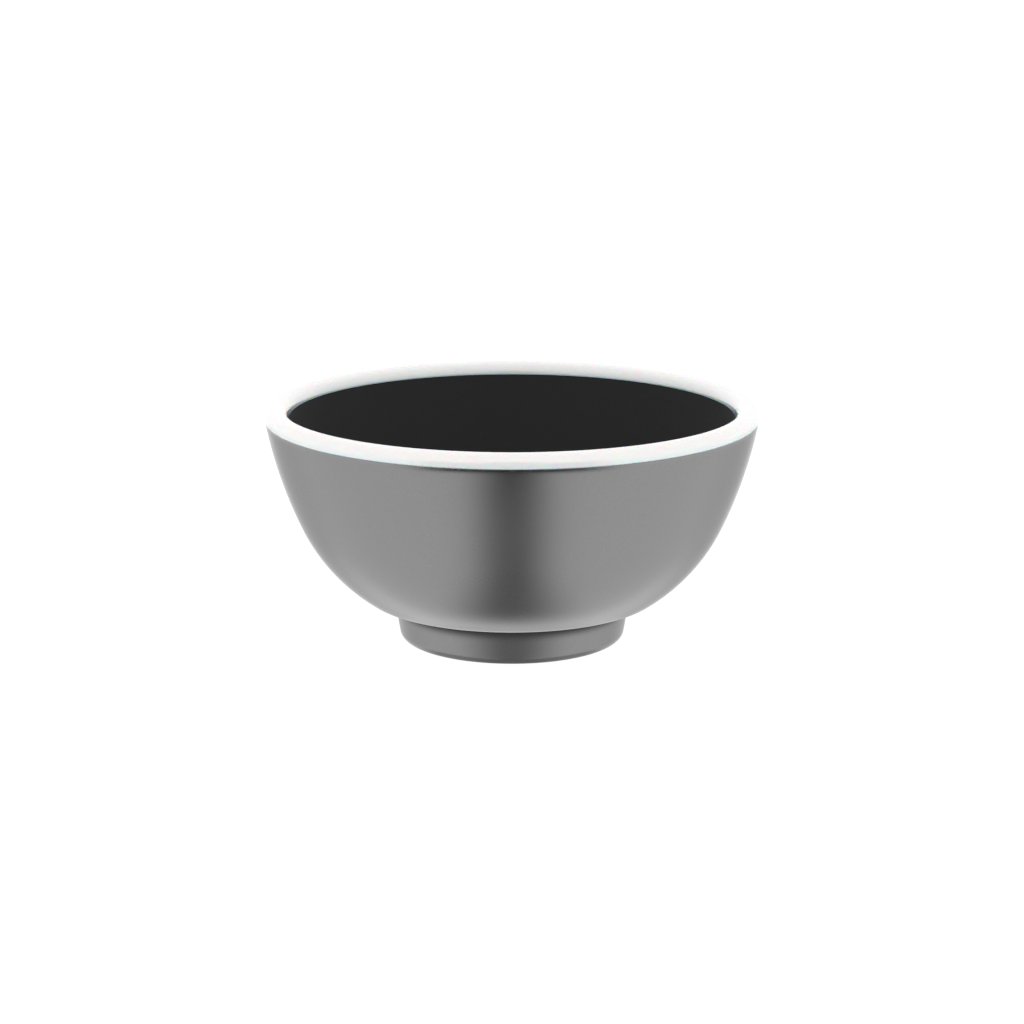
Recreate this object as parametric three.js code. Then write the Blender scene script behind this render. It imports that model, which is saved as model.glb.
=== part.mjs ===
// Footed dip bowl with a double wall: a charcoal inner bowl and a grey outer shell,
// joined at the top by a white rim ring and standing on a grey foot ring with a
// soft non-slip ring pressed into its underside.
// Millimetres, +Z up, the origin on the ground under the bowl's axis.
import * as THREE from 'three';

// ---- driving sizes ---------------------------------------------------------------
const RIM_RADIUS = 60;
const HEIGHT = 58.9;
const SEGMENTS = 64;             // facets round every turned piece
const GAP = 0.3;                 // clearance kept between neighbouring pieces

// Rim ring: a rounded white band that covers the top edges of both walls
const BAND_OUTSIDE = 3.4;        // height of the band as seen from outside
const BAND_INSIDE = 3.1;         // and from inside
const RIM_WIDTH = 5.75;          // from the outer face to the inner face
const RIM_OUTER_CORNER = 2.4;
const TONGUE_DEPTH = 5;          // how far the ring's tongue reaches between the walls

// Wall: arcs, each starting where the last one ends. A slope is measured from the
// vertical, and the bowl leaves the rim at RIM_SLOPE. Outside, the wall turns under
// tightly and runs in to the foot almost flat. Every hidden or inner surface follows
// softer arcs, so that the inside of the bowl has no corner for dip to stay in.
const RIM_SLOPE = 10.5;
const OUTSIDE_ARCS = [
  { radius: 108, endSlope: 25, steps: 3 },
  { radius: 44.7, endSlope: 56.1, steps: 4 },
  { radius: 6, endSlope: 80, steps: 3 },
  { radius: 400, endSlope: 82, steps: 1 },
];
const INNER_ARCS = [
  { radius: 108, endSlope: 25, steps: 3 },
  { radius: 44.7, endSlope: 46.7, steps: 3 },
  { radius: 23.5, endSlope: 90, steps: 4 },
];
const SHELL_WALL = 2.0;
const BOWL_WALL = 1.8;
const WALLS_TOTAL = RIM_WIDTH * Math.cos(THREE.MathUtils.degToRad(RIM_SLOPE));

// Locating boss under the inner bowl and the collar on the shell's floor that holds it
const BOSS_RADIUS = 8.5;
const COLLAR_WALL = 2;

// Foot ring
const FOOT_SEAT = 9.5;           // height of the flat seat under the outer shell
const FOOT_RADIUS_AT_GROUND = 27.31;
const FOOT_TAPER = 9.4;          // degrees from the vertical, wider at the top
const FOOT_CORNER = 2.15;
const FOOT_BORE = 20.4;
const SPIGOT_RADIUS = 23.4;      // short skirt under the shell, inside the foot ring
const SPIGOT_WALL = 2;
const SPIGOT_END = 5.4;

// Non-slip ring, standing a little proud of the foot ring's underside
const GRIP_STAND = 0.35;
const GRIP_INNER = 22.3;
const GRIP_OUTER = 24.3;
const GRIP_TOP = 1.25;
const GRIP_BEVEL = 0.25;

// ---- outline helpers -------------------------------------------------------------
const rad = THREE.MathUtils.degToRad;
const deg = THREE.MathUtils.radToDeg;
const point = (radius, height) => new THREE.Vector2(radius, height);
const SHELL_TOP = HEIGHT - BAND_OUTSIDE;
const BOWL_TOP = HEIGHT - BAND_INSIDE;

/** Points of an arc about a centre, from one angle to another, in degrees. */
function arc(centre, radiusX, radiusY, from, to, steps) {
  const points = [];
  for (let i = 0; i <= steps; i++) {
    const angle = rad(from + (to - from) * i / steps);
    points.push(point(centre.x + radiusX * Math.cos(angle), centre.y + radiusY * Math.sin(angle)));
  }
  return points;
}

/** A wall's arcs with their centres, worked out from the rim downwards. */
function placedArcs(arcs) {
  let slope = RIM_SLOPE;
  let start = point(RIM_RADIUS, SHELL_TOP);
  return arcs.map(({ radius, endSlope, steps }) => {
    const outwards = (s) => point(Math.cos(rad(s)), -Math.sin(rad(s)));
    const centre = start.clone().addScaledVector(outwards(slope), -radius);
    const placed = { centre, radius, startSlope: slope, endSlope, steps };
    start = centre.clone().addScaledVector(outwards(endSlope), radius);
    slope = endSlope;
    return placed;
  });
}

/** A wall's outline at a depth inside its arcs, from one height down to another. */
function wallOutline(depth, topHeight, bottomHeight = -Infinity, arcs = INNER_ARCS) {
  const points = [];
  for (const { centre, radius, startSlope, endSlope, steps } of placedArcs(arcs)) {
    const r = radius - depth;
    const slopeAt = (height) => deg(Math.asin(Math.min(1, (centre.y - height) / r)));
    const first = points.length === 0 ? slopeAt(topHeight) : startSlope;
    const last = Math.min(endSlope, slopeAt(Math.max(bottomHeight, centre.y - r)));
    const run = arc(centre, r, r, -first, -last, steps);
    points.push(...(points.length === 0 ? run : run.slice(1)));
    if (last < endSlope) break;
  }
  return points;
}

/** One turned piece: an outline spun round the Z axis, named and coloured. */
function turned(name, outline, look) {
  const geometry = new THREE.LatheGeometry(outline, SEGMENTS);
  geometry.rotateX(Math.PI / 2);
  const mesh = new THREE.Mesh(geometry, new THREE.MeshStandardMaterial(look));
  mesh.name = name;
  return mesh;
}

// ---- finishes --------------------------------------------------------------------
const SATIN_GREY = { color: 0x8f8f8f, roughness: 0.28, metalness: 0.5 };
const GLOSS_WHITE = { color: 0xf6f6f4, roughness: 0.18, metalness: 0 };
const MATTE_CHARCOAL = { color: 0x282828, roughness: 0.7, metalness: 0 };
const SOFT_BLACK = { color: 0x3a3a3a, roughness: 0.9, metalness: 0 };

// ---- outer shell -----------------------------------------------------------------
function outerShell() {
  const inside = wallOutline(SHELL_WALL, SHELL_TOP - GAP);
  const outside = wallOutline(0, SHELL_TOP - GAP, FOOT_SEAT, OUTSIDE_ARCS).reverse();
  const floor = inside[inside.length - 1].y;
  const collarInner = BOSS_RADIUS + GAP;
  const collarOuter = collarInner + COLLAR_WALL;
  const collarTop = bowlUnderside() - GAP;
  return turned('outer_shell', [
    point(0, FOOT_SEAT),
    point(SPIGOT_RADIUS - SPIGOT_WALL, FOOT_SEAT),
    point(SPIGOT_RADIUS - SPIGOT_WALL, SPIGOT_END),
    point(SPIGOT_RADIUS, SPIGOT_END),
    point(SPIGOT_RADIUS, FOOT_SEAT),
    ...outside,
    ...inside,
    point(collarOuter, floor),
    point(collarOuter, collarTop),
    point(collarInner, collarTop),
    point(collarInner, floor),
    point(0, floor),
  ], SATIN_GREY);
}

// ---- inner bowl ------------------------------------------------------------------
/** Height of the inner bowl's flat underside. */
function bowlUnderside() {
  const outline = wallOutline(WALLS_TOTAL - BOWL_WALL, BOWL_TOP - GAP);
  return outline[outline.length - 1].y;
}

function innerBowl() {
  const inside = wallOutline(WALLS_TOTAL, BOWL_TOP - GAP);
  const outside = wallOutline(WALLS_TOTAL - BOWL_WALL, BOWL_TOP - GAP).reverse();
  const shellInside = wallOutline(SHELL_WALL, SHELL_TOP - GAP);
  const bossEnd = shellInside[shellInside.length - 1].y + GAP;
  return turned('inner_bowl', [
    point(0, bossEnd),
    point(BOSS_RADIUS, bossEnd),
    point(BOSS_RADIUS, bowlUnderside()),
    ...outside,
    ...inside,
    point(0, inside[inside.length - 1].y),
  ], MATTE_CHARCOAL);
}

// ---- rim ring --------------------------------------------------------------------
function rimRing() {
  const crest = RIM_RADIUS - RIM_OUTER_CORNER;
  const innerFace = RIM_RADIUS - RIM_WIDTH;
  const tongueEnd = SHELL_TOP - TONGUE_DEPTH;
  const tongueOutside = wallOutline(SHELL_WALL + GAP, SHELL_TOP, tongueEnd).slice(0, 2);
  const tongueInside = wallOutline(WALLS_TOTAL - BOWL_WALL - GAP, BOWL_TOP, tongueEnd).slice(0, 2);
  const foot = tongueEnds(tongueOutside, tongueInside, tongueEnd);
  const outline = [
    point(RIM_RADIUS, SHELL_TOP),
    ...arc(point(crest, HEIGHT - RIM_OUTER_CORNER), RIM_OUTER_CORNER, RIM_OUTER_CORNER, 0, 90, 4),
    ...arc(point(crest, BOWL_TOP), crest - innerFace, BAND_INSIDE, 90, 180, 4).slice(1),
    tongueInside[0],
    foot.inside,
    foot.outside,
    tongueOutside[0],
    point(RIM_RADIUS, SHELL_TOP),
  ];
  return turned('rim_ring', outline, GLOSS_WHITE);
}

/** Where the tongue's two sloping faces reach its lower end. */
function tongueEnds(outside, inside, height) {
  const at = ([a, b]) => point(a.x + (b.x - a.x) * (a.y - height) / (a.y - b.y), height);
  return { outside: at(outside), inside: at(inside) };
}

// ---- foot ring -------------------------------------------------------------------
function footRing() {
  const top = FOOT_SEAT - GAP;
  const taper = rad(FOOT_TAPER);
  const side = (height) => FOOT_RADIUS_AT_GROUND + height * Math.tan(taper);
  const cornerHeight = GRIP_STAND + FOOT_CORNER;
  const cornerRadius = side(cornerHeight) - FOOT_CORNER / Math.cos(taper);
  const corner = point(cornerRadius, cornerHeight);
  const grooveTop = GRIP_TOP + GAP;
  const socketFloor = SPIGOT_END - GAP;
  const outline = [
    point(FOOT_BORE, GRIP_STAND),
    point(GRIP_INNER - GAP, GRIP_STAND),
    point(GRIP_INNER - GAP, grooveTop),
    point(GRIP_OUTER + GAP, grooveTop),
    point(GRIP_OUTER + GAP, GRIP_STAND),
    ...arc(corner, FOOT_CORNER, FOOT_CORNER, -90, -FOOT_TAPER, 4),
    point(side(top), top),
    point(SPIGOT_RADIUS + GAP, top),
    point(SPIGOT_RADIUS + GAP, socketFloor),
    point(FOOT_BORE, socketFloor),
    point(FOOT_BORE, GRIP_STAND),
  ];
  return turned('foot_ring', outline, SATIN_GREY);
}

// ---- non-slip ring ---------------------------------------------------------------
function nonSlipRing() {
  const outline = [
    point(GRIP_INNER + GRIP_BEVEL, 0),
    point(GRIP_OUTER - GRIP_BEVEL, 0),
    point(GRIP_OUTER, GRIP_BEVEL),
    point(GRIP_OUTER, GRIP_TOP),
    point(GRIP_INNER, GRIP_TOP),
    point(GRIP_INNER, GRIP_BEVEL),
    point(GRIP_INNER + GRIP_BEVEL, 0),
  ];
  return turned('non_slip_ring', outline, SOFT_BLACK);
}

const bowl = new THREE.Group();
bowl.add(outerShell(), innerBowl(), rimRing(), footRing(), nonSlipRing());
export default bowl;
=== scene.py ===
# %% [markdown]
# # A footed dip bowl with a double wall
#
# The bowl has five pieces: a grey outer shell, a charcoal inner bowl, a white rim ring that
# caps both walls, a grey foot ring, and a soft ring pressed in under the foot. The design's
# own solids are plain facetted turnings. This lesson keeps their sizes, makes each piece
# again as a fine smooth surface with eased edges, and gives it the finish of a moulding.

import math

import bpy
import numpy as np
from mathutils import Euler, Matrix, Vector


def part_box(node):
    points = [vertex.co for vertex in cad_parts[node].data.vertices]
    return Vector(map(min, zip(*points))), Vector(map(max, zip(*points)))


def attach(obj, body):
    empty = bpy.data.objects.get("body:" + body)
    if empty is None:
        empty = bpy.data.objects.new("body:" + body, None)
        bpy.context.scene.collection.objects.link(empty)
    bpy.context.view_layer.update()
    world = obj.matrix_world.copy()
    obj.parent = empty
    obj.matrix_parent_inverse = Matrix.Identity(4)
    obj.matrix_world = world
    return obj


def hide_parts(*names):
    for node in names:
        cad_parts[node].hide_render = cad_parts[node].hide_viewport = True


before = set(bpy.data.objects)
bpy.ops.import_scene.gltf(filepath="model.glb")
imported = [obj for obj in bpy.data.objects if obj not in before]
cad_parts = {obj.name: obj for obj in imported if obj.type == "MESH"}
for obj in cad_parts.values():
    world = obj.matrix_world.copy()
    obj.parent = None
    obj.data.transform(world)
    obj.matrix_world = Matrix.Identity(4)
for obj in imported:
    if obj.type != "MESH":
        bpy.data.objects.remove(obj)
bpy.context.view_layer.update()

# %% [markdown]
# ## The sizes
#
# The outside sizes are read from the frame's boxes, so that the fine surfaces and the plain
# solids can't drift apart. What a box can't tell, such as the arcs of the wall, is repeated
# here. Everything is in millimetres until a mesh is made, because a moulding is drawn so.

# %% Sizes
MM = 0.001


def node_box(node):
    """The lowest and highest corner of a design node, in millimetres."""
    return [np.array(corner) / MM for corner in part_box(node)]


rim_low, rim_high = node_box("rim_ring")
shell_low, shell_high = node_box("outer_shell")
foot_low, foot_high = node_box("foot_ring")
grip_high = node_box("non_slip_ring")[1]

RIM_RADIUS = rim_high[0]
HEIGHT = rim_high[2]
DESIGN_GAP = 0.3                        # the plain solids stand this far apart
FIT = 0.06                              # the fine pieces meet this closely where they touch
SEAM = 0.06                             # the fine line that shows under the rim
FOOT_LINE = 0.3                         # the shadow line above the foot
SHELL_TOP = shell_high[2] + DESIGN_GAP  # where the white band starts, outside
BOWL_TOP = node_box("inner_bowl")[1][2] + DESIGN_GAP
RIM_WIDTH = 5.75
RIM_OUTER_CORNER = 2.4
TONGUE_END = rim_low[2]

RIM_SLOPE = 10.5                        # degrees from the vertical, just under the rim
OUTSIDE_ARCS = [(108.0, 25.0), (44.7, 56.1), (6.0, 80.0), (400.0, 82.0)]  # radius, end slope
INNER_ARCS = [(108.0, 25.0), (44.7, 46.7), (23.5, 90.0)]
SHELL_WALL = 2.0
BOWL_WALL = 1.8
WALLS_TOTAL = RIM_WIDTH * math.cos(math.radians(RIM_SLOPE))

BOSS_RADIUS = 8.5
COLLAR_WALL = 2.0
FOOT_SEAT = foot_high[2] + DESIGN_GAP
FOOT_TAPER = 9.4
FOOT_CORNER = 2.15
FOOT_BORE = 20.4
SPIGOT_RADIUS = 23.4
SPIGOT_WALL = 2.0
SPIGOT_END = shell_low[2]
GRIP_STAND = foot_low[2]
GRIP_OUTER = grip_high[0]
GRIP_INNER = 22.3
GRIP_TOP = grip_high[2]
FOOT_RADIUS_AT_GROUND = foot_high[0] - foot_high[2] * math.tan(math.radians(FOOT_TAPER))
print(f"rim {2 * RIM_RADIUS:.1f} mm across, {HEIGHT:.1f} mm high,",
      f"foot {2 * foot_high[0]:.1f} mm across")

# %% [markdown]
# ## The camera
#
# A product view of a small bowl is taken with a long lens from a little above the rim. The
# camera is 700 mm from the centre of the rim and sees it 11 degrees from above, and it
# points a little lower, at the bowl's waist, which keeps the whole bowl in the middle.

# %% Camera
VIEW_DISTANCE = 700.0
VIEW_ELEVATION = 11.15
VIEW_PITCH = 13.325
FOCAL_LENGTH = 100.95
SENSOR_WIDTH = 36.0

view_angle = math.radians(VIEW_ELEVATION)
lens = bpy.data.cameras.new("product_camera")
lens.lens = FOCAL_LENGTH
lens.sensor_width = SENSOR_WIDTH
camera = bpy.data.objects.new("product_camera", lens)
camera.location = Vector((0.0, -VIEW_DISTANCE * math.cos(view_angle),
                          HEIGHT + VIEW_DISTANCE * math.sin(view_angle))) * MM
camera.rotation_euler = Euler((math.radians(90.0 - VIEW_PITCH), 0.0, 0.0))
bpy.context.scene.collection.objects.link(camera)
bpy.context.scene.camera = camera
bpy.context.scene.view_settings.view_transform = "Standard"
print("camera at", [round(v, 3) for v in camera.location], "m")

# %% [markdown]
# ## The studio
#
# The bowl stands on a light table: a pale sheet that glows evenly, so almost no shadow is
# left round the foot. All round it the studio is white, with one darker patch, the gap
# between the two side panels where the camera stands. That gap is what draws the soft dark
# stripe down the front of a glossy round thing. Behind the gap is the dark room, which only
# reflections see, and which shades the lip under the rim. The table is brighter just behind
# the bowl, and brighter still where it meets the backdrop, and that draws the light band
# under the belly and the light edge down each side.
#
# The studio is a world shader, because it is smooth everywhere and gives little noise.
# Lamps would do too, but each would need a frame of its own in every reflection. A direction
# in the world is three numbers from -1 to 1: sideways, forwards (away from the camera) and
# upwards. The table is hidden from reflections, so that a glossy wall sees this world down
# to the floor.

# %% Node helper
def node(tree, kind, settings=None, **values):
    """Adds a shader node, sets its attributes, and gives its named inputs constant values."""
    made = tree.nodes.new(kind)
    for name, value in (settings or {}).items():
        setattr(made, name, value)
    for name, value in values.items():
        made.inputs[name.replace("_", " ")].default_value = value
    return made


def feed(tree, value, socket):
    """Links a socket's value to an input, or types a plain number or colour into it."""
    if isinstance(value, bpy.types.NodeSocket):
        tree.links.new(value, socket)
    else:
        socket.default_value = value


def maths(tree, operation, *values, clamp=False):
    """One Math node with its values, each a number or a socket."""
    made = node(tree, "ShaderNodeMath", settings={"operation": operation, "use_clamp": clamp})
    for value, socket in zip(values, made.inputs):
        feed(tree, value, socket)
    return made.outputs[0]


def ramp(tree, value, low, high, to_low=0.0, to_high=1.0):
    """A soft step: to_low below low, to_high above high, and a smooth S between them."""
    made = node(tree, "ShaderNodeMapRange", settings={"interpolation_type": "SMOOTHSTEP"})
    for number, socket in zip((value, low, high, to_low, to_high), made.inputs):
        feed(tree, number, socket)
    return made.outputs[0]


def blend(tree, amount, first, second):
    """One Mix node for plain values: first where amount is 0, second where it is 1."""
    made = node(tree, "ShaderNodeMix")
    for value, socket in zip((amount, first, second), (made.inputs[i] for i in (0, 2, 3))):
        feed(tree, value, socket)
    return made.outputs[0]


print("node helpers ready")

# %% Studio world
PANEL_LIGHT = 1.02            # the two side panels
PANEL_EDGE = (0.04, 0.36)     # sideways, from the gap to the full panel
BACK_LIGHT = 0.68             # the low part of the backdrop
BACK_EDGE = (0.3, 0.8)        # forwards, from the panels to the backdrop
BEHIND_LIGHT = 0.45           # added on the table just behind the bowl
BEHIND_EDGE = (0.38, 0.62)    # forwards, where that starts
BEHIND_TOP = (-0.75, -0.5)    # upwards, where it fades out
HORIZON_LIGHT = 0.55          # added where the table meets the backdrop
HORIZON_EDGE = (0.84, 0.98)   # forwards
CEILING_LIGHT = 1.10          # everything above the table
CEILING_EDGE = (-0.30, -0.10)  # upwards

GAP_TILT = 45.0               # the middle of the gap, in degrees below the horizon
GAP_EDGE = (0.26, 0.51)       # from outside the gap to inside, towards its middle
GAP_LIGHT = 0.2               # the foot of the gap that the camera stands in
GAP_TOP_LIGHT = 0.02          # the top of that gap, and the room behind it
GAP_TOP = (-0.85, -0.5)       # upwards, from the foot to the top
ROOM_BACK = (-0.6, -0.3)      # the dark room: forwards
ROOM_SIDES = (0.5, 0.8)       # sideways
ROOM_FLOOR = (-0.42, -0.28)   # upwards, its floor
ROOM_ROOF = (0.0, 0.2)        # upwards, its roof

studio = bpy.data.worlds.new("studio")
studio.use_nodes = True
tree = studio.node_tree
tree.nodes.clear()
parts = node(tree, "ShaderNodeSeparateXYZ")
feed(tree, node(tree, "ShaderNodeTexCoord").outputs["Generated"], parts.inputs[0])
sideways = maths(tree, "ABSOLUTE", parts.outputs["X"])
forwards, upwards = parts.outputs["Y"], parts.outputs["Z"]

tilt = math.radians(GAP_TILT)
towards_gap = maths(tree, "MULTIPLY_ADD", forwards, -math.cos(tilt),
                    maths(tree, "MULTIPLY", upwards, -math.sin(tilt)))
beside_panels = maths(tree, "SUBTRACT", 1.0, ramp(tree, sideways, *PANEL_EDGE))
in_gap = maths(tree, "MULTIPLY", ramp(tree, towards_gap, *GAP_EDGE), beside_panels)
room_sides = maths(tree, "MULTIPLY", ramp(tree, forwards, *ROOM_BACK, 1.0, 0.0),
                   ramp(tree, sideways, *ROOM_SIDES, 1.0, 0.0))
room_heights = maths(tree, "MULTIPLY", ramp(tree, upwards, *ROOM_FLOOR),
                     ramp(tree, upwards, *ROOM_ROOF, 1.0, 0.0))
in_room = maths(tree, "MULTIPLY", maths(tree, "MULTIPLY", room_sides, room_heights),
                node(tree, "ShaderNodeLightPath").outputs["Is Glossy Ray"])
dark = maths(tree, "MAXIMUM", in_gap, in_room)
dark_light = ramp(tree, upwards, *GAP_TOP, GAP_LIGHT, GAP_TOP_LIGHT)

behind = maths(tree, "MULTIPLY", ramp(tree, forwards, *BEHIND_EDGE),
               ramp(tree, upwards, *BEHIND_TOP, BEHIND_LIGHT, 0.0))
horizon = ramp(tree, forwards, *HORIZON_EDGE, 0.0, HORIZON_LIGHT)
low_light = maths(tree, "ADD", ramp(tree, forwards, *BACK_EDGE, PANEL_LIGHT, BACK_LIGHT),
                  maths(tree, "ADD", behind, horizon))
around = blend(tree, ramp(tree, upwards, *CEILING_EDGE), low_light, CEILING_LIGHT)

background = node(tree, "ShaderNodeBackground", Color=(1.0, 1.0, 1.0, 1.0))
feed(tree, blend(tree, dark, around, dark_light), background.inputs["Strength"])
feed(tree, background.outputs[0], node(tree, "ShaderNodeOutputWorld").inputs["Surface"])
bpy.context.scene.world = studio
print("studio world with", len(tree.nodes), "nodes")

# %% Light table
TABLE_HALF = 6000.0
TABLE_GLOW = 0.985
TABLE_GREY = (0.08, 0.08, 0.08, 1.0)

table_mesh = bpy.data.meshes.new("light_table")
corners = np.array([(-1, -1, 0), (1, -1, 0), (1, 1, 0), (-1, 1, 0)]) * TABLE_HALF * MM
table_mesh.from_pydata(corners.tolist(), [], [range(4)])
light_table = bpy.data.objects.new("light_table", table_mesh)
bpy.context.scene.collection.objects.link(light_table)
light_table.visible_glossy = False

table_look = bpy.data.materials.new("light_table")
table_look.use_nodes = True
shader = table_look.node_tree.nodes["Principled BSDF"]
shader.inputs["Base Color"].default_value = TABLE_GREY
shader.inputs["Roughness"].default_value = 1.0
shader.inputs["Specular IOR Level"].default_value = 0.0
shader.inputs["Emission Color"].default_value = (1.0, 1.0, 1.0, 1.0)
shader.inputs["Emission Strength"].default_value = TABLE_GLOW
table_mesh.materials.append(table_look)
print("light table", 2 * TABLE_HALF / 1000, "m wide")

# %% [markdown]
# ## Outlines
#
# Each piece is turned, so its shape is one outline in the half plane beside the axis:
# radius and height. An outline is put together from legs, each running from one corner to
# the next, and each corner is then eased, because no moulding has a knife edge, and a tiny
# eased edge is what catches the light. A Bevel modifier could ease the edges of a turned
# mesh, but easing the outline gives exact control and no stray faces.

# %% Outline helpers
def spaced(count):
    """count + 1 numbers from 0 to 1, closer together at both ends: (1 - cos(pi t)) / 2."""
    return (1.0 - np.cos(np.linspace(0.0, math.pi, count + 1))) / 2.0


def straight(start, end, count=14):
    """A straight leg: start + (end - start) t, with t crowded at both ends."""
    start, end = np.array(start, float), np.array(end, float)
    return start + (end - start) * spaced(count)[:, None]


def bend(centre, radii, from_angle, to_angle, count=16):
    """Part of an ellipse: centre + (a cos t, b sin t), with t between two angles in degrees."""
    angle = np.radians(from_angle + (to_angle - from_angle) * spaced(count))
    return np.array(centre) + np.stack([radii[0] * np.cos(angle), radii[1] * np.sin(angle)], 1)


def cut_back(leg, length):
    """The leg without its first stretch of that length, which is measured along the leg."""
    along = np.concatenate([[0.0], np.cumsum(np.hypot(*np.diff(leg, axis=0).T))])
    length = min(length, 0.45 * along[-1])
    start = [np.interp(length, along, column) for column in leg.T]
    return np.vstack([start, leg[along > length + 1e-6]])


def joined(legs, easings, closed=False, count=8):
    """Legs end to end, each corner P eased by the curve (1-s)^2 A + 2 s (1-s) P + s^2 B,
    where A and B lie one easing back from P on the two legs that meet there."""
    legs = [np.array(leg) for leg in legs]
    corners = range(len(legs)) if closed else range(len(legs) - 1)
    bridges = {}
    for i in corners:
        j = (i + 1) % len(legs)
        corner, easing = legs[i][-1].copy(), easings[i]
        if easing > 0.0:
            legs[i] = cut_back(legs[i][::-1], easing)[::-1]
            legs[j] = cut_back(legs[j], easing)
            s = np.linspace(0.0, 1.0, count + 1)[1:-1, None]
            bridges[i] = ((1 - s) ** 2 * legs[i][-1] + 2 * s * (1 - s) * corner
                          + s ** 2 * legs[j][0])
    pieces = []
    for i, leg in enumerate(legs):
        pieces.append(leg)
        if i in bridges:
            pieces.append(bridges[i])
    outline = np.vstack(pieces)
    steps = np.hypot(*np.diff(outline, axis=0).T)
    return outline[np.concatenate([[True], steps > 1e-5])]


softened = joined([straight((0, 0), (1, 0)), straight((1, 0), (1, 1))], [0.2])
print("one eased corner and its two legs have", len(softened), "points")

# %% [markdown]
# ## The wall's curve
#
# The wall is a chain of arcs that run smoothly into each other: long and nearly straight
# under the rim, then tighter through the belly. Outside, it turns under in a tight corner
# and runs in to the foot almost flat. Inside it sweeps into the floor on one soft arc, so
# that nothing stays in a corner. A surface further in is the same arcs at a depth. The top
# millimetre of the outside curls in by the square of its height, to tuck under the rim.

# %% Wall curve
LIP_HEIGHT, LIP_DEPTH = 1.2, 0.2


def facing(slope):
    """The outward direction of a wall that leans this many degrees: (cos s, -sin s)."""
    return np.array([math.cos(math.radians(slope)), -math.sin(math.radians(slope))])


def placed_arcs(arcs):
    """Centre, radius, and the slopes at the start and end of each arc, from the rim down."""
    found, slope, start = [], RIM_SLOPE, np.array([RIM_RADIUS, SHELL_TOP])
    for radius, end_slope in arcs:
        centre = start - radius * facing(slope)
        found.append((centre, radius, slope, end_slope))
        start, slope = centre + radius * facing(end_slope), end_slope
    return found


def wall(depth, top, bottom=-1e9, count=30, arcs=INNER_ARCS):
    """The wall's outline at a depth inside its arcs, from the height top to bottom:
    centre + (R - depth)(cos s, -sin s), where s is the slope from the vertical."""
    runs = []
    for centre, radius, start_slope, end_slope in placed_arcs(arcs):
        r = radius - depth
        slope_at = lambda height: math.degrees(math.asin(min(1.0, (centre[1] - height) / r)))
        first = start_slope if runs else slope_at(top)
        last = min(end_slope, slope_at(max(bottom, centre[1] - r)))
        run = bend(centre, (r, r), -first, -last, count)
        runs.append(run[1:] if runs else run)
        if last < end_slope:
            break
    return np.vstack(runs)


belly = wall(0.0, SHELL_TOP - SEAM, FOOT_SEAT, count=20, arcs=OUTSIDE_ARCS)
up_the_lip = np.clip((belly[:, 1] - belly[0][1] + LIP_HEIGHT) / LIP_HEIGHT, 0.0, 1.0)
belly[:, 0] -= LIP_DEPTH * up_the_lip ** 2
print(f"the belly meets the foot's seat at radius {belly[-1][0]:.2f} mm")

# %% [markdown]
# ## Turning an outline into a mesh
#
# A turned surface is a grid: one way round the axis, the other way along the outline. Where
# an outline starts or ends on the axis its whole row becomes a single point. The Screw
# modifier does the same job, but with arrays the poles and the seam where the turn ends are
# closed by construction.
#
# An outline whose last point is its first makes a closed ring. The three rings here miss
# that by one step of their last eased corner, so each has a fine open slit there: 0.12 mm
# wide under the foot, and under 0.03 mm on the rim and the non-slip ring.

# %% Turning
TURNS = 256


def turned(name, outline, turns=TURNS):
    """(r, h) spun round the axis: x = r cos a, y = r sin a, z = h. Faces point outwards."""
    outline = np.array(outline)
    ring = np.allclose(outline[0], outline[-1])
    if ring:
        outline = outline[:-1]
    r, h = outline[:, :1], outline[:, 1:]
    pole = r[:, 0] < 1e-6
    here = np.arange(turns)
    angle = 2.0 * math.pi * here / turns
    grid = np.stack([r * np.cos(angle), r * np.sin(angle), h + 0.0 * angle], 2)
    points = grid[~pole[:, None] | (here == 0)] * MM
    width = np.where(pole, 1, turns)
    index = (np.cumsum(width) - width)[:, None] + here % width[:, None]

    below = index if ring else index[:-1]
    above = np.roll(index, -1, 0) if ring else index[1:]
    quads = np.stack([below, np.roll(below, -1, 1), np.roll(above, -1, 1), above], 2)
    from_pole = quads[:, 0, 0] == quads[:, 0, 1]
    to_pole = quads[:, 0, 2] == quads[:, 0, 3]
    faces = (quads[~from_pole & ~to_pole].reshape(-1, 4).tolist()
             + quads[from_pole][:, :, [0, 2, 3]].reshape(-1, 3).tolist()
             + quads[to_pole][:, :, [0, 1, 2]].reshape(-1, 3).tolist())

    mesh = bpy.data.meshes.new(name)
    mesh.from_pydata(points.tolist(), [], faces)
    mesh.polygons.foreach_set("use_smooth", np.ones(len(faces), bool))
    mesh.update()
    piece = bpy.data.objects.new(name, mesh)
    bpy.context.scene.collection.objects.link(piece)

    print(f"{name}: {len(faces)} faces")
    return piece


print("each piece has", TURNS, "steps round the axis")

# %% [markdown]
# ## Shader groups
#
# Three effects are shared, so each is a group: the fine skin of a moulding, the pearl
# pigment that makes the grey look metallic, and the faint marks of handling. Each group
# reads the object's own coordinates, in metres, and gives out only values.

# %% Group helper
def new_group(name, inputs, outputs):
    """A shader group with float or vector inputs and outputs, and its inner in and out nodes."""
    group = bpy.data.node_groups.new(name, "ShaderNodeTree")
    for side, sockets in (("INPUT", inputs), ("OUTPUT", outputs)):
        for label, kind, default in sockets:
            socket = group.interface.new_socket(label, in_out=side, socket_type=kind)
            if default is not None:
                socket.default_value = default
    entry = group.nodes.new("NodeGroupInput")
    leave = group.nodes.new("NodeGroupOutput")
    return group, entry.outputs, leave.inputs


def pattern(tree, kind, vector, scale, **values):
    """A noise or cell texture that repeats about scale times in a metre."""
    made = node(tree, kind, **values)
    feed(tree, vector, made.inputs["Vector"])
    feed(tree, scale, made.inputs["Scale"])
    return made


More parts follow.
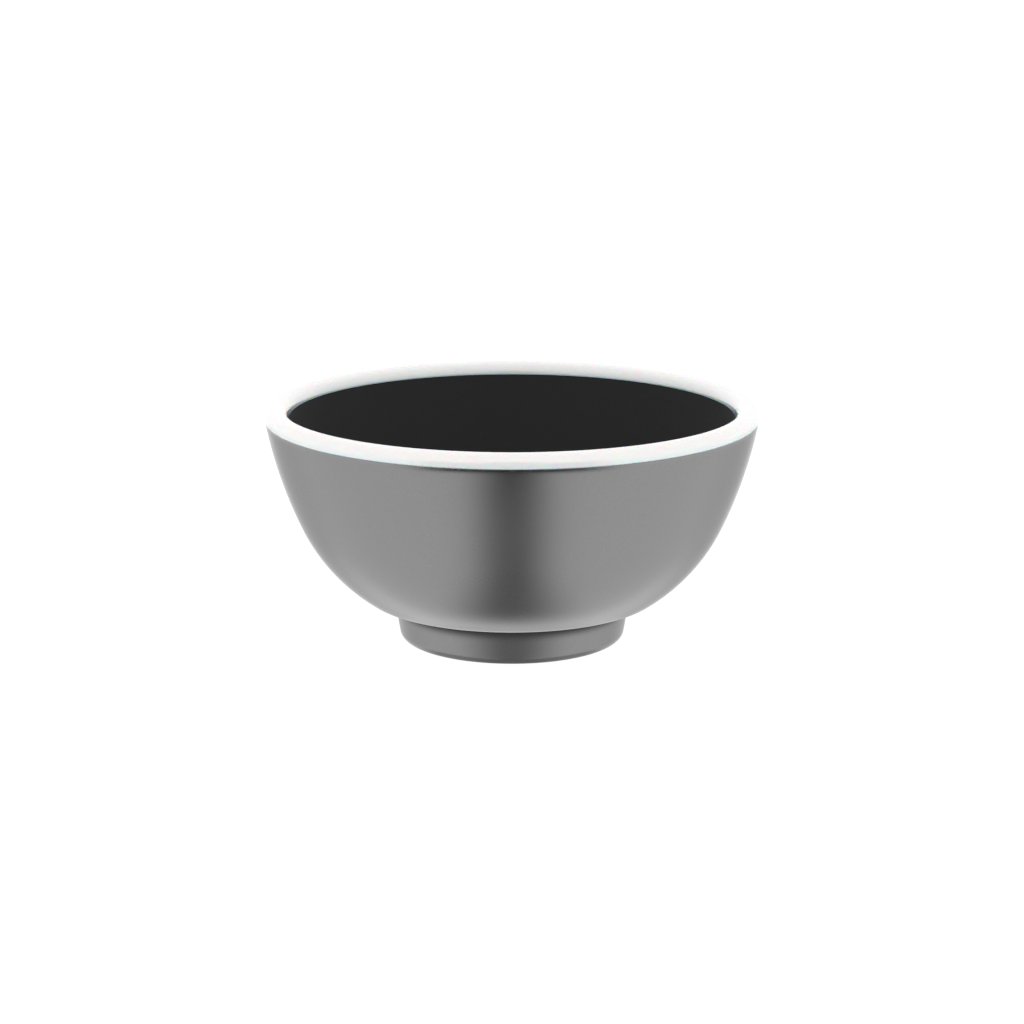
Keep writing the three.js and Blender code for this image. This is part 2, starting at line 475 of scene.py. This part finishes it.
FLOAT, VECTOR = "NodeSocketFloat", "NodeSocketVector"
print("group helpers ready")

# %% Moulded skin group
skin, skin_in, skin_out = new_group(
    "moulded_skin",
    [("Vector", VECTOR, None), ("Grain Scale", FLOAT, 4000.0), ("Grain", FLOAT, 0.5),
     ("Flow Scale", FLOAT, 90.0), ("Flow", FLOAT, 0.5)],
    [("Height", FLOAT, None), ("Variation", FLOAT, None)])
grain = pattern(skin, "ShaderNodeTexNoise", skin_in["Vector"], skin_in["Grain Scale"], Detail=3.0)
flow = pattern(skin, "ShaderNodeTexNoise", skin_in["Vector"], skin_in["Flow Scale"], Detail=2.0)
fine = maths(skin, "MULTIPLY", maths(skin, "SUBTRACT", grain.outputs["Fac"], 0.5),
             skin_in["Grain"])
broad = maths(skin, "MULTIPLY", maths(skin, "SUBTRACT", flow.outputs["Fac"], 0.5),
              skin_in["Flow"])
skin.links.new(maths(skin, "ADD", fine, broad), skin_out["Height"])
skin.links.new(maths(skin, "ADD", maths(skin, "MULTIPLY", fine, 0.5), broad), skin_out["Variation"])
print("moulded_skin:", len(skin.nodes), "nodes")

# %% Pearl pigment group
pearl, pearl_in, pearl_out = new_group(
    "pearl_pigment",
    [("Vector", VECTOR, None), ("Flake Scale", FLOAT, 6000.0), ("Strength", FLOAT, 0.1),
     ("Base", FLOAT, 0.28)],
    [("Tone", FLOAT, None)])
flakes = pattern(pearl, "ShaderNodeTexVoronoi", pearl_in["Vector"], pearl_in["Flake Scale"])
flake_tone = node(pearl, "ShaderNodeSeparateColor")
pearl.links.new(flakes.outputs["Color"], flake_tone.inputs[0])
swing = maths(pearl, "MULTIPLY", maths(pearl, "SUBTRACT", flake_tone.outputs[0], 0.5),
              pearl_in["Strength"])
pearl.links.new(maths(pearl, "MULTIPLY", pearl_in["Base"], maths(pearl, "ADD", swing, 1.0)),
                pearl_out["Tone"])
print("pearl_pigment:", len(pearl.nodes), "nodes")

# %% Handling group
SPECK_SCALE, CLOUD_SCALE = 900.0, 35.0
SPECK_EDGE, CLOUD_EDGE = (0.48, 0.66), (0.42, 0.7)

handled, handled_in, handled_out = new_group(
    "handling",
    [("Vector", VECTOR, None), ("Edge Height", FLOAT, 0.0), ("Reach", FLOAT, 0.003),
     ("Rub", FLOAT, 0.1), ("Smudge", FLOAT, 0.05)],
    [("Wear", FLOAT, None), ("Film", FLOAT, None)])
where = node(handled, "ShaderNodeSeparateXYZ")
handled.links.new(handled_in["Vector"], where.inputs[0])
away = maths(handled, "ABSOLUTE",
             maths(handled, "SUBTRACT", where.outputs["Z"], handled_in["Edge Height"]))
near = maths(handled, "SUBTRACT", 1.0, maths(handled, "DIVIDE", away, handled_in["Reach"]),
             clamp=True)
specks = pattern(handled, "ShaderNodeTexNoise", handled_in["Vector"], SPECK_SCALE, Detail=4.0)
patchy = maths(handled, "MULTIPLY", near, ramp(handled, specks.outputs["Fac"], *SPECK_EDGE))
handled.links.new(maths(handled, "MULTIPLY", patchy, handled_in["Rub"]), handled_out["Wear"])
clouds = pattern(handled, "ShaderNodeTexNoise", handled_in["Vector"], CLOUD_SCALE, Detail=3.0)
film = ramp(handled, clouds.outputs["Fac"], *CLOUD_EDGE)
handled.links.new(maths(handled, "MULTIPLY", film, handled_in["Smudge"]), handled_out["Film"])
print("handling:", len(handled.nodes), "nodes")

# %% [markdown]
# ## The finishes
#
# A finish starts from one helper that sets the plain numbers on the Principled shader and
# places the skin and handling groups. Each material then gives its colour, and a second
# colour for where it is rubbed or filmed over.

# %% Finish helper
def use_group(tree, group, vector, **values):
    """Places a group in a material, with its Vector linked and its numbers set."""
    made = node(tree, "ShaderNodeGroup", settings={"node_tree": group})
    tree.links.new(vector, made.inputs["Vector"])
    for name, value in values.items():
        made.inputs[name.replace("_", " ").title()].default_value = value
    return made.outputs


GLOSS_SWING = 0.08


def finish(name, roughness, grain_depth, skin_values, handling_values, **plain):
    """A moulding's material: its plain numbers, its bump in metres, and its uneven gloss."""
    look = bpy.data.materials.new(name)
    look.use_nodes = True
    tree = look.node_tree
    shader = tree.nodes["Principled BSDF"]
    for socket, value in plain.items():
        shader.inputs[socket.replace("_", " ").replace("Ior", "IOR")].default_value = value
    vector = node(tree, "ShaderNodeTexCoord").outputs["Object"]
    surface = use_group(tree, skin, vector, **skin_values)
    marks = use_group(tree, handled, vector, **handling_values)
    bump = node(tree, "ShaderNodeBump", Strength=1.0, Distance=grain_depth)
    tree.links.new(surface["Height"], bump.inputs["Height"])
    tree.links.new(bump.outputs["Normal"], shader.inputs["Normal"])
    uneven = maths(tree, "MULTIPLY_ADD", surface["Variation"], GLOSS_SWING, roughness)
    marked = maths(tree, "ADD", uneven, maths(tree, "ADD", marks["Wear"], marks["Film"]))
    tree.links.new(marked, shader.inputs["Roughness"])
    return look, vector, marks


def tint(look, base, worn, amount):
    """Mixes a base colour or socket towards a worn colour by an amount socket."""
    tree = look.node_tree
    mixed = node(tree, "ShaderNodeMix", settings={"data_type": "RGBA"})
    for value, socket in zip((amount, base, worn), (mixed.inputs[i] for i in (0, 6, 7))):
        feed(tree, value, socket)
    feed(tree, mixed.outputs[2], tree.nodes["Principled BSDF"].inputs["Base Color"])


print("finish helper ready")

# %% [markdown]
# ### Satin grey
#
# The shell and the foot are moulded in a grey plastic filled with pearl pigment. The tiny
# plates reflect like dull metal, so most of what is seen is a soft reflection of the studio
# and hardly any plain colour. A thin clear gloss lies over them.

# %% Satin grey
GREY = 0.27
RUBBED_GREY = (0.42, 0.42, 0.42, 1.0)


def satin_grey(name, edge_height):
    """Pearl grey with its rubbed band at one height, in millimetres."""
    look, vector, marks = finish(
        name, roughness=0.27, grain_depth=0.00002,
        skin_values=dict(grain_scale=5000.0, grain=0.25, flow_scale=120.0, flow=0.35),
        handling_values=dict(edge_height=edge_height * MM, reach=0.0012, rub=0.10, smudge=0.03),
        Metallic=1.0, Coat_Weight=0.25, Coat_Roughness=0.12)
    tree = look.node_tree
    pigment = use_group(tree, pearl, vector, flake_scale=7000.0, strength=0.10, base=GREY)
    grey = node(tree, "ShaderNodeCombineColor")
    for channel in grey.inputs:
        feed(tree, pigment["Tone"], channel)
    tint(look, grey.outputs[0], RUBBED_GREY, marks["Wear"])
    return look


shell_grey = satin_grey("satin_grey_shell", SHELL_TOP)
foot_grey = satin_grey("satin_grey_foot", GRIP_STAND)
print("made", shell_grey.name, "and", foot_grey.name)

# %% [markdown]
# ### Gloss white
#
# The rim is the shiniest piece: a dense white moulding, polished because it is what the lips
# and the chips touch. Its gloss carries the studio's dark gap as a faint shade at the front.

# %% Gloss white
WHITE = (0.84, 0.84, 0.835, 1.0)
RUBBED_WHITE = (0.75, 0.75, 0.74, 1.0)

white, _, white_marks = finish(
    "gloss_white_rim", roughness=0.16, grain_depth=0.00002,
    skin_values=dict(grain_scale=2600.0, grain=0.15, flow_scale=80.0, flow=0.4),
    handling_values=dict(edge_height=HEIGHT * MM, reach=0.0008, rub=0.08, smudge=0.04),
    Specular_Ior_Level=1.0, Coat_Weight=1.0, Coat_Roughness=0.06, Coat_Ior=1.6,
    Subsurface_Weight=0.8, Subsurface_Scale=0.0025)
tint(white, WHITE, RUBBED_WHITE, white_marks["Wear"])
print("made", white.name)

# %% [markdown]
# ### Matt charcoal
#
# The inside is spark-textured in the mould: a fine even grain that spreads light so widely
# that the whole inside reads as one flat dark tone.

# %% Matt charcoal
CHARCOAL = (0.0235, 0.0235, 0.0235, 1.0)
CHARCOAL_FILM = (0.04, 0.04, 0.04, 1.0)

charcoal, _, charcoal_marks = finish(
    "matt_charcoal_inside", roughness=0.78, grain_depth=0.00006,
    skin_values=dict(grain_scale=3200.0, grain=1.0, flow_scale=60.0, flow=0.2),
    handling_values=dict(edge_height=BOWL_TOP * MM, reach=0.0012, rub=0.06, smudge=0.05),
    Specular_Ior_Level=0.2)
tint(charcoal, CHARCOAL, CHARCOAL_FILM, charcoal_marks["Film"])
print("made", charcoal.name)

# %% [markdown]
# ### Grip rubber
#
# The non-slip ring is a soft dark elastomer with hardly any gloss, a little dusty where it
# touches the table.

# %% Grip rubber
RUBBER = (0.042, 0.042, 0.043, 1.0)
DUST = (0.12, 0.12, 0.12, 1.0)

rubber, _, rubber_marks = finish(
    "grip_rubber_ring", roughness=0.88, grain_depth=0.00004,
    skin_values=dict(grain_scale=2600.0, grain=0.8, flow_scale=150.0, flow=0.3),
    handling_values=dict(edge_height=0.0, reach=0.0006, rub=0.05, smudge=0.06),
    Specular_Ior_Level=0.3)
tint(rubber, RUBBER, DUST, rubber_marks["Wear"])
print("made", rubber.name)

# %% [markdown]
# ## The pieces
#
# Each piece is placed on the body "root", because nothing on this bowl moves. It is given its
# finish, and the plain solid that it stands for is hidden.

# %% Placing helper
def millilitres(outline):
    """The volume that an outline turns: the sum of its cone slices, pi/3 (r r + r R + R R) H."""
    r, h = outline.T
    r2, h2 = np.roll(outline, -1, 0).T
    return math.pi / 3.0 * np.sum((r * r + r * r2 + r2 * r2) * (h2 - h)) / 1000.0


def placed(name, outline, design_node, look):
    """Turns a piece, gives it its finish, and hides the plain solid that it stands for."""
    piece = turned(name, outline)
    piece.data.materials.append(look)
    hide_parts(design_node)
    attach(piece, "root")
    print(f"{name}: {millilitres(outline):.2f} ml of material")


# %% [markdown]
# ### Outer shell
#
# The grey outside wall. Underneath it has a flat seat and a short skirt for the foot ring,
# and in the middle of its floor the small dimple where the plastic entered the mould, with
# the trimmed nib of the sprue in it. Inside, a collar holds the inner bowl's boss.

# %% Outer shell
shell_inside = wall(SHELL_WALL, SHELL_TOP - SEAM, count=16)
shell_floor = shell_inside[-1][1]
bowl_underside = wall(WALLS_TOTAL - BOWL_WALL, BOWL_TOP)[-1][1]
collar_inner = BOSS_RADIUS + FIT
collar_outer = collar_inner + COLLAR_WALL
skirt_inner = SPIGOT_RADIUS - SPIGOT_WALL
GATE_RADIUS, GATE_DEPTH, GATE_DRAFT = 3.2, 0.35, 0.25
NIB_RADIUS, NIB_DEPTH, NIB_DRAFT = 0.8, 0.1, 0.1
gate_roof = FOOT_SEAT + GATE_DEPTH
nib_end = FOOT_SEAT + NIB_DEPTH

shell_legs = [
    straight((0.0, nib_end), (NIB_RADIUS, nib_end)),
    straight((NIB_RADIUS, nib_end), (NIB_RADIUS + NIB_DRAFT, gate_roof), 4),
    straight((NIB_RADIUS + NIB_DRAFT, gate_roof), (GATE_RADIUS, gate_roof)),
    straight((GATE_RADIUS, gate_roof), (GATE_RADIUS + GATE_DRAFT, FOOT_SEAT), 4),
    straight((GATE_RADIUS + GATE_DRAFT, FOOT_SEAT), (skirt_inner, FOOT_SEAT)),
    straight((skirt_inner, FOOT_SEAT), (skirt_inner, SPIGOT_END)),
    straight((skirt_inner, SPIGOT_END), (SPIGOT_RADIUS, SPIGOT_END)),
    straight((SPIGOT_RADIUS, SPIGOT_END), (SPIGOT_RADIUS, FOOT_SEAT)),
    straight((SPIGOT_RADIUS, FOOT_SEAT), belly[-1]),
    belly[::-1],
    straight(belly[0], shell_inside[0]),
    shell_inside,
    straight(shell_inside[-1], (collar_outer, shell_floor)),
    straight((collar_outer, shell_floor), (collar_outer, bowl_underside - FIT)),
    straight((collar_outer, bowl_underside - FIT), (collar_inner, bowl_underside - FIT)),
    straight((collar_inner, bowl_underside - FIT), (collar_inner, shell_floor)),
    straight((collar_inner, shell_floor), (0.0, shell_floor)),
]
shell_easings = [0.1, 0.1, 0.15, 0.15, 0.4, 0.3, 0.3, 0.3,
                 0.2, 0.04, 0.1, 0.0, 0.5, 0.3, 0.3, 0.3]
placed("grey_shell", joined(shell_legs, shell_easings), "outer_shell", shell_grey)

# %% [markdown]
# ### Inner bowl
#
# The charcoal bowl that holds the dip. Its wall is a little thinner than the shell's, its
# floor runs into the wall in one smooth sweep so that a spoon or a chip can follow it, and
# the boss below sits in the shell's collar.

# %% Inner bowl
bowl_inside = wall(WALLS_TOTAL, BOWL_TOP - SEAM)
bowl_outside = wall(WALLS_TOTAL - BOWL_WALL, BOWL_TOP - SEAM)
boss_end = shell_floor + FIT
bowl_legs = [
    straight((0.0, boss_end), (BOSS_RADIUS, boss_end)),
    straight((BOSS_RADIUS, boss_end), (BOSS_RADIUS, bowl_underside)),
    straight((BOSS_RADIUS, bowl_underside), bowl_outside[-1]),
    bowl_outside[::-1],
    straight(bowl_outside[0], bowl_inside[0]),
    bowl_inside,
    straight(bowl_inside[-1], (0.0, bowl_inside[-1][1]), 24),
]
bowl_easings = [0.4, 0.3, 0.0, 0.1, 0.1, 0.0]
placed("charcoal_bowl", joined(bowl_legs, bowl_easings), "inner_bowl", charcoal)

# %% [markdown]
# ### Rim ring
#
# The white ring is rounded right over the top: a tight round on the outside and a longer,
# softer one on the inside, so that nothing catches when a chip is lifted out. A tongue
# below reaches down between the two walls and is what holds them apart.

# %% Rim ring
crest = RIM_RADIUS - RIM_OUTER_CORNER
inner_face = RIM_RADIUS - RIM_WIDTH
tongue_outer = wall(SHELL_WALL + FIT, SHELL_TOP, TONGUE_END, 12)
tongue_inner = wall(WALLS_TOTAL - BOWL_WALL - FIT, BOWL_TOP, TONGUE_END, 12)
rim_legs = [
    straight((RIM_RADIUS, SHELL_TOP), (RIM_RADIUS, HEIGHT - RIM_OUTER_CORNER), 10),
    np.vstack([
        bend((crest, HEIGHT - RIM_OUTER_CORNER), (RIM_OUTER_CORNER, RIM_OUTER_CORNER), 0, 90, 20),
        bend((crest, BOWL_TOP), (crest - inner_face, HEIGHT - BOWL_TOP), 90, 180, 24)[1:]]),
    straight((inner_face, BOWL_TOP), tongue_inner[0]),
    tongue_inner,
    straight(tongue_inner[-1], tongue_outer[-1], 6),
    tongue_outer[::-1],
    straight(tongue_outer[0], (RIM_RADIUS, SHELL_TOP)),
]
rim_easings = [0.0, 0.1, 0.2, 0.25, 0.25, 0.2, 0.12]
placed("white_rim", joined(rim_legs, rim_easings, closed=True), "rim_ring", white)

# %% [markdown]
# ### Foot ring
#
# The foot widens a little upwards, so that it draws from its mould and fingers find it, and
# its lower edge is well rounded. Its bore is stepped to take the shell's skirt, and a square
# groove underneath holds the non-slip ring.

# %% Foot ring
lean = math.radians(FOOT_TAPER)
foot_top = FOOT_SEAT - FOOT_LINE


def foot_side(height):
    """The foot's outer radius at a height: it grows by tan(taper) for each millimetre up."""
    return FOOT_RADIUS_AT_GROUND + height * math.tan(lean)


corner_height = GRIP_STAND + FOOT_CORNER
corner_radius = foot_side(corner_height) - FOOT_CORNER / math.cos(lean)
groove_inner, groove_outer = GRIP_INNER - FIT, GRIP_OUTER + FIT
groove_roof = GRIP_TOP + FIT
socket_radius, socket_floor = SPIGOT_RADIUS + FIT, SPIGOT_END - FIT
side_start = np.array([corner_radius, corner_height]) + FOOT_CORNER * facing(FOOT_TAPER)
foot_legs = [
    straight((FOOT_BORE, GRIP_STAND), (groove_inner, GRIP_STAND), 8),
    straight((groove_inner, GRIP_STAND), (groove_inner, groove_roof), 8),
    straight((groove_inner, groove_roof), (groove_outer, groove_roof), 8),
    straight((groove_outer, groove_roof), (groove_outer, GRIP_STAND), 8),
    straight((groove_outer, GRIP_STAND), (corner_radius, GRIP_STAND), 8),
    bend((corner_radius, corner_height), (FOOT_CORNER, FOOT_CORNER), -90, -FOOT_TAPER, 20),
    straight(side_start, (foot_side(foot_top), foot_top), 18),
    straight((foot_side(foot_top), foot_top), (socket_radius, foot_top)),
    straight((socket_radius, foot_top), (socket_radius, socket_floor)),
    straight((socket_radius, socket_floor), (FOOT_BORE, socket_floor)),
    straight((FOOT_BORE, socket_floor), (FOOT_BORE, GRIP_STAND)),
]
foot_easings = [0.2, 0.15, 0.15, 0.2, 0.0, 0.0, 0.12, 0.2, 0.2, 0.3, 0.5]
placed("grey_foot", joined(foot_legs, foot_easings, closed=True),
       "foot_ring", foot_grey)

# %% [markdown]
# ### Non-slip ring
#
# A soft ring with a rounded tread: two fine grooves run round its underside, so that three
# narrow ribs touch the table.

# %% Non-slip ring
RIBS = 3
TREAD_DEPTH = 0.22


def tread(radius):
    """The tread's height: shallow waves, depth (1 + cos(2 pi n u)) / 2, lowest on the ribs."""
    u = (radius - GRIP_INNER) / (GRIP_OUTER - GRIP_INNER)
    return TREAD_DEPTH * (1.0 + np.cos(2.0 * math.pi * RIBS * u)) / 2.0


TREAD_POINTS = 49
tread_radius = np.linspace(GRIP_INNER, GRIP_OUTER, TREAD_POINTS)
tread_leg = np.stack([tread_radius, tread(tread_radius)], 1)
grip_legs = [
    tread_leg,
    straight(tread_leg[-1], (GRIP_OUTER, GRIP_TOP), 8),
    straight((GRIP_OUTER, GRIP_TOP), (GRIP_INNER, GRIP_TOP), 8),
    straight((GRIP_INNER, GRIP_TOP), tread_leg[0], 8),
]
grip_easings = [0.1, 0.15, 0.15, 0.1]
placed("grip_ring", joined(grip_legs, grip_easings, closed=True),
       "non_slip_ring", rubber)

# %% [markdown]
# ## Glowing cards that paint reflections and shade
#
# Small glowing cards stand round the foot, and what they give the shell and the foot is
# painted reflection and painted shade. Here a low collar stands close round the foot. Its
# outside glows white, a painted reflection that gives the turned under part of the shell its
# clean bright band. Its inside glows from dark in front to white at the sides, a painted
# reflection that puts the same stripe on the foot as on the shell. It darkens at the top,
# which is painted shade for the shade under the shell. A dull disc below paints a contact
# shade into the reflection of the rounded lower edge. Only glossy rays see the cards.

# %% Cards
COLLAR_RADIUS, CONTACT_RADIUS = 30.0, 29.6
CARD_TURNS = 128
CARD_OUTSIDE = 0.97
STRIPE = (0.0011, 0.0176)       # sideways in metres, from the dark stripe to the full card
# The next line gives the glow of the painted stripe, of the collar, and of the painted contact
# shade on the disc.
STRIPE_LIGHT, COLLAR_LIGHT, CONTACT_SHADE_LIGHT = 0.32, 0.96, 0.55
COLLAR_ENDS = (0.022, 0.030)    # sideways, where the collar dims to COLLAR_END_PART of itself
COLLAR_END_PART = 0.8
# The next two lines set the painted shade that darkens the collar's top, for the shade under the
# shell.
SHADE = (0.0050, 0.0080)        # height in metres, from the collar's own light to its shade
SHADE_LIGHT = 0.12
CONTACT_ENDS = (0.018, 0.025)   # sideways, where the disc brightens by CONTACT_SIDES
CONTACT_SIDES = 0.35


def card(name, outline):
    """A turned sheet that only glossy rays see. Gives its material's node tree, the distance
    sideways, the height, and the socket that takes its light."""
    sheet = turned(name, outline, CARD_TURNS)
    sheet.visible_camera = False
    sheet.visible_diffuse = False
    sheet.visible_shadow = False
    sheet.visible_transmission = False
    look = bpy.data.materials.new(name)
    look.use_nodes = True
    tree = look.node_tree
    tree.nodes.clear()
    where = node(tree, "ShaderNodeSeparateXYZ")
    feed(tree, node(tree, "ShaderNodeTexCoord").outputs["Object"], where.inputs[0])
    glow = node(tree, "ShaderNodeEmission")
    feed(tree, glow.outputs[0], node(tree, "ShaderNodeOutputMaterial").inputs["Surface"])
    sheet.data.materials.append(look)
    sideways = maths(tree, "ABSOLUTE", where.outputs["X"])
    return tree, sideways, where.outputs["Z"], glow.inputs["Strength"]


# The collar card paints reflections: a dark stripe inside, a white outside, and painted shade at
# its top.
tree, sideways, height, strength = card(
    "foot_collar_reflection_card", [(COLLAR_RADIUS, 0.0), (COLLAR_RADIUS, FOOT_SEAT)])
stripe = ramp(tree, sideways, *STRIPE, STRIPE_LIGHT, COLLAR_LIGHT)
at_ends = ramp(tree, sideways, *COLLAR_ENDS, 1.0, COLLAR_END_PART)
inside = ramp(tree, height, *SHADE, maths(tree, "MULTIPLY", stripe, at_ends), SHADE_LIGHT)
backfacing = node(tree, "ShaderNodeNewGeometry").outputs["Backfacing"]
feed(tree, blend(tree, backfacing, CARD_OUTSIDE, inside), strength)

# The disc card paints a contact shade under the foot into the reflection of its lower edge.
tree, sideways, height, strength = card(
    "foot_contact_shade_card", [(0.0, 0.0), (CONTACT_RADIUS, 0.0)])
feed(tree, maths(tree, "ADD", ramp(tree, sideways, *STRIPE, STRIPE_LIGHT, CONTACT_SHADE_LIGHT),
                 ramp(tree, sideways, *CONTACT_ENDS, 0.0, CONTACT_SIDES)), strength)
